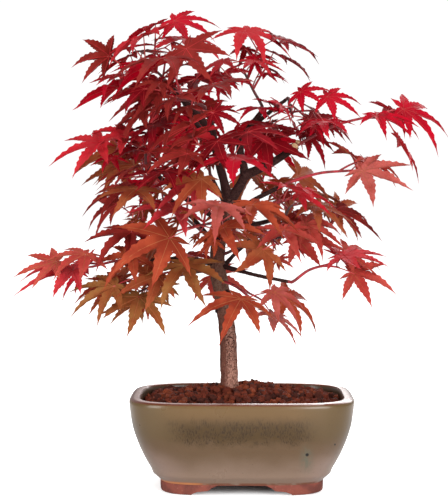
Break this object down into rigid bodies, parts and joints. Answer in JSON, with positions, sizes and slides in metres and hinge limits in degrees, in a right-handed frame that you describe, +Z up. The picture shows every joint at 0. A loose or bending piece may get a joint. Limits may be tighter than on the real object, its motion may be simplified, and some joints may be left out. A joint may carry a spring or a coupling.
{
  "type": "japanese maple bonsai",
  "caption": "Japanese maple bonsai in red leaf, with a slim upright trunk, in a footed glazed rectangular pot.",
  "frame": {"origin": "on the surface that the pot's feet stand on, under the middle of the whole plant's bounding box", "axes": "+X along the pot's long side, to the right in the picture; +Y away from the viewer; +Z up"},
  "size_m": [0.292, 0.2202, 0.3194],
  "materials": {
    "pot_glaze": "gloss",
    "soil": "matte",
    "bark": "matte",
    "leaf": "satin"
  },
  "bodies": {
    "root": {"back_bough": "bark", "back_leader": "bark", "back_low_bough": "bark", "front_bough": "bark", "front_leader": "bark", "front_low_bough": "bark", "leaves_back_low": "leaf", "leaves_back_upper": "leaf", "leaves_crown_back": "leaf", "leaves_crown_front": "leaf", "leaves_crown_left": "leaf", "leaves_crown_right": "leaf", "leaves_crown_top": "leaf", "leaves_front_foot": "leaf", "leaves_front_low": "leaf", "leaves_front_upper": "leaf", "leaves_left_back": "leaf", "leaves_left_back_low": "leaf", "leaves_left_low": "leaf", "leaves_left_low_tip": "leaf", "leaves_left_middle": "leaf", "leaves_left_upper": "leaf", "leaves_right_back": "leaf", "leaves_right_inner": "leaf", "leaves_right_low": "leaf", "leaves_right_low_tip": "leaf", "leaves_right_spray": "leaf", "leaves_right_tip": "leaf", "left_back_bough": "bark", "left_bough": "bark", "left_leader": "bark", "left_low_bough": "bark", "pot": "pot_glaze", "right_bough": "bark", "right_fork": "bark", "right_leader": "bark", "right_low_bough": "bark", "right_mid_bough": "bark", "soil": "soil", "top_bough": "bark", "trunk": "bark"}
  },
  "joints": []
}
